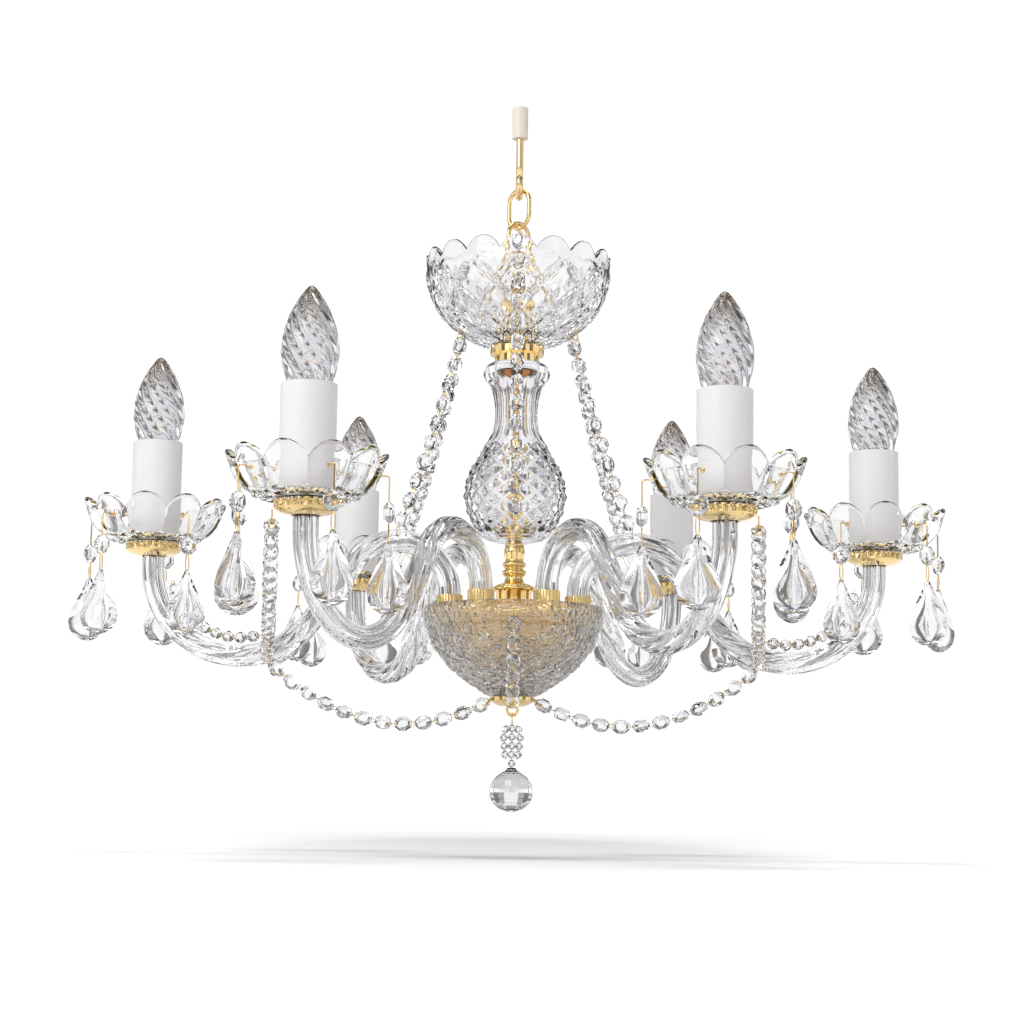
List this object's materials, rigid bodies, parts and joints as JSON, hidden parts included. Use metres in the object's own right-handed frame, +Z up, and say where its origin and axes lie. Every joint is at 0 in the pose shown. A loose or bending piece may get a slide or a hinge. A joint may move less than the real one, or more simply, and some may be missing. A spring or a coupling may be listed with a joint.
{
  "type": "crystal chandelier",
  "caption": "Hanging chandelier with curved glass arms, petalled glass pans, white candle covers, faceted pendants and bead strands on a gold-coloured column.",
  "frame": {"origin": "on the ceiling plane, at the axis of the hook and its plug", "axes": "+Z up into the ceiling, the front of the chandelier faces -Y, and one arm points along +X"},
  "size_m": [0.5918, 0.5236, 0.4884],
  "materials": {
    "plug": "smooth cream plastic",
    "hook_brass": "polished brass plate on steel",
    "chain_brass": "polished brass wire",
    "brass": "polished gold-coloured brass, turned and lacquered",
    "cut_glass": "clear pressed glass with a cut lattice",
    "arm_glass": "clear glass tube with lengthwise ribs",
    "pan_glass": "clear pressed glass with petals",
    "crystal": "clear faceted crystal",
    "candle_white": "satin white plastic",
    "bulb_glass": "clear twisted glass, faintly smoky at the tip",
    "terminal": "moulded white plastic"
  },
  "bodies": {
    "ceiling": {"ceiling_plug": "plug", "ceiling_hook": "hook_brass"},
    "link_upper": {"chain_link_upper": "chain_brass"},
    "link_lower": {"chain_link_lower": "chain_brass"},
    "chandelier": {"centre_stem": "brass", "top_dish": "cut_glass", "dish_collar": "brass", "baluster_vase": "cut_glass", "vase_spindle": "brass", "arm_hub": "brass", "wiring_cup": "brass", "terminal_block": "terminal", "bottom_bowl": "cut_glass", "bottom_finial": "brass", "upper_strands": "crystal", "lower_strands": "crystal", "arm_1": "arm_glass", "pan_seat_1": "brass", "drip_pan_1": "pan_glass", "candle_1": "candle_white", "arm_2": "arm_glass", "pan_seat_2": "brass", "drip_pan_2": "pan_glass", "candle_2": "candle_white", "arm_3": "arm_glass", "pan_seat_3": "brass", "drip_pan_3": "pan_glass", "candle_3": "candle_white", "arm_4": "arm_glass", "pan_seat_4": "brass", "drip_pan_4": "pan_glass", "candle_4": "candle_white", "arm_5": "arm_glass", "pan_seat_5": "brass", "drip_pan_5": "pan_glass", "candle_5": "candle_white", "arm_6": "arm_glass", "pan_seat_6": "brass", "drip_pan_6": "pan_glass", "candle_6": "candle_white"},
    "ball_drop": {"bead_drop": "crystal", "crystal_ball": "crystal"},
    "bulb_1": {"bulb_1": "bulb_glass"},
    "pendants_outer_1": {"pendants_outer_1": "crystal"},
    "pendants_side_1": {"pendants_side_1": "crystal"},
    "bulb_2": {"bulb_2": "bulb_glass"},
    "pendants_outer_2": {"pendants_outer_2": "crystal"},
    "pendants_side_2": {"pendants_side_2": "crystal"},
    "bulb_3": {"bulb_3": "bulb_glass"},
    "pendants_outer_3": {"pendants_outer_3": "crystal"},
    "pendants_side_3": {"pendants_side_3": "crystal"},
    "bulb_4": {"bulb_4": "bulb_glass"},
    "pendants_outer_4": {"pendants_outer_4": "crystal"},
    "pendants_side_4": {"pendants_side_4": "crystal"},
    "bulb_5": {"bulb_5": "bulb_glass"},
    "pendants_outer_5": {"pendants_outer_5": "crystal"},
    "pendants_side_5": {"pendants_side_5": "crystal"},
    "bulb_6": {"bulb_6": "bulb_glass"},
    "pendants_outer_6": {"pendants_outer_6": "crystal"},
    "pendants_side_6": {"pendants_side_6": "crystal"}
  },
  "joints": [
    {"name": "hook_swing", "type": "hinge", "parent": "ceiling", "child": "link_upper", "pos_m": [0, 0, -0.0419], "axis": [0, 1, 0], "range_deg": [-15, 15]},
    {"name": "chain_swing", "type": "hinge", "parent": "link_upper", "child": "link_lower", "pos_m": [0, 0, -0.0642], "axis": [0.766, -0.6428, 0], "range_deg": [-15, 15]},
    {"name": "ring_swing", "type": "hinge", "parent": "link_lower", "child": "chandelier", "pos_m": [0, 0, -0.0879], "axis": [0.766, 0.6428, 0], "range_deg": [-15, 15]},
    {"name": "ball_swing", "type": "hinge", "parent": "chandelier", "child": "ball_drop", "pos_m": [0, 0, -0.4017], "axis": [1, 0, 0], "range_deg": [-25, 25]},
    {"name": "bulb_1_lift", "type": "slide", "parent": "chandelier", "child": "bulb_1", "axis": [0, 0, 1], "range_m": [0, 0.06]},
    {"name": "pendants_outer_1_swing", "type": "hinge", "parent": "chandelier", "child": "pendants_outer_1", "pos_m": [0.27724, -0.01047, -0.2725], "axis": [-0.309, -0.9511, 0], "range_deg": [-12, 12]},
    {"name": "pendants_side_1_swing", "type": "hinge", "parent": "chandelier", "child": "pendants_side_1", "pos_m": [0.23269, 0.004, -0.2725], "axis": [0.309, 0.9511, 0], "range_deg": [-12, 12]},
    {"name": "bulb_2_lift", "type": "slide", "parent": "chandelier", "child": "bulb_2", "axis": [0, 0, 1], "range_m": [0, 0.06]},
    {"name": "pendants_outer_2_swing", "type": "hinge", "parent": "chandelier", "child": "pendants_outer_2", "pos_m": [0.12955, 0.24533, -0.2725], "axis": [-0.9781, 0.2079, 0], "range_deg": [-12, 12]},
    {"name": "pendants_side_2_swing", "type": "hinge", "parent": "chandelier", "child": "pendants_side_2", "pos_m": [0.11981, 0.19951, -0.2725], "axis": [0.9781, -0.2079, 0], "range_deg": [-12, 12]},
    {"name": "bulb_3_lift", "type": "slide", "parent": "chandelier", "child": "bulb_3", "axis": [0, 0, 1], "range_m": [0, 0.06]},
    {"name": "pendants_outer_3_swing", "type": "hinge", "parent": "chandelier", "child": "pendants_outer_3", "pos_m": [-0.12955, 0.24533, -0.2725], "axis": [0.9781, 0.2079, 0], "range_deg": [-12, 12]},
    {"name": "pendants_side_3_swing", "type": "hinge", "parent": "chandelier", "child": "pendants_side_3", "pos_m": [-0.11981, 0.19951, -0.2725], "axis": [-0.9781, -0.2079, 0], "range_deg": [-12, 12]},
    {"name": "bulb_4_lift", "type": "slide", "parent": "chandelier", "child": "bulb_4", "axis": [0, 0, 1], "range_m": [0, 0.06]},
    {"name": "pendants_outer_4_swing", "type": "hinge", "parent": "chandelier", "child": "pendants_outer_4", "pos_m": [-0.27724, -0.01047, -0.2725], "axis": [0.309, -0.9511, 0], "range_deg": [-12, 12]},
    {"name": "pendants_side_4_swing", "type": "hinge", "parent": "chandelier", "child": "pendants_side_4", "pos_m": [-0.23269, 0.004, -0.2725], "axis": [-0.309, 0.9511, 0], "range_deg": [-12, 12]},
    {"name": "bulb_5_lift", "type": "slide", "parent": "chandelier", "child": "bulb_5", "axis": [0, 0, 1], "range_m": [0, 0.06]},
    {"name": "pendants_outer_5_swing", "type": "hinge", "parent": "chandelier", "child": "pendants_outer_5", "pos_m": [-0.12955, -0.24533, -0.2725], "axis": [0.9781, -0.2079, 0], "range_deg": [-12, 12]},
    {"name": "pendants_side_5_swing", "type": "hinge", "parent": "chandelier", "child": "pendants_side_5", "pos_m": [-0.11981, -0.19951, -0.2725], "axis": [-0.9781, 0.2079, 0], "range_deg": [-12, 12]},
    {"name": "bulb_6_lift", "type": "slide", "parent": "chandelier", "child": "bulb_6", "axis": [0, 0, 1], "range_m": [0, 0.06]},
    {"name": "pendants_outer_6_swing", "type": "hinge", "parent": "chandelier", "child": "pendants_outer_6", "pos_m": [0.12955, -0.24533, -0.2725], "axis": [-0.9781, -0.2079, 0], "range_deg": [-12, 12]},
    {"name": "pendants_side_6_swing", "type": "hinge", "parent": "chandelier", "child": "pendants_side_6", "pos_m": [0.11981, -0.19951, -0.2725], "axis": [0.9781, 0.2079, 0], "range_deg": [-12, 12]}
  ]
}
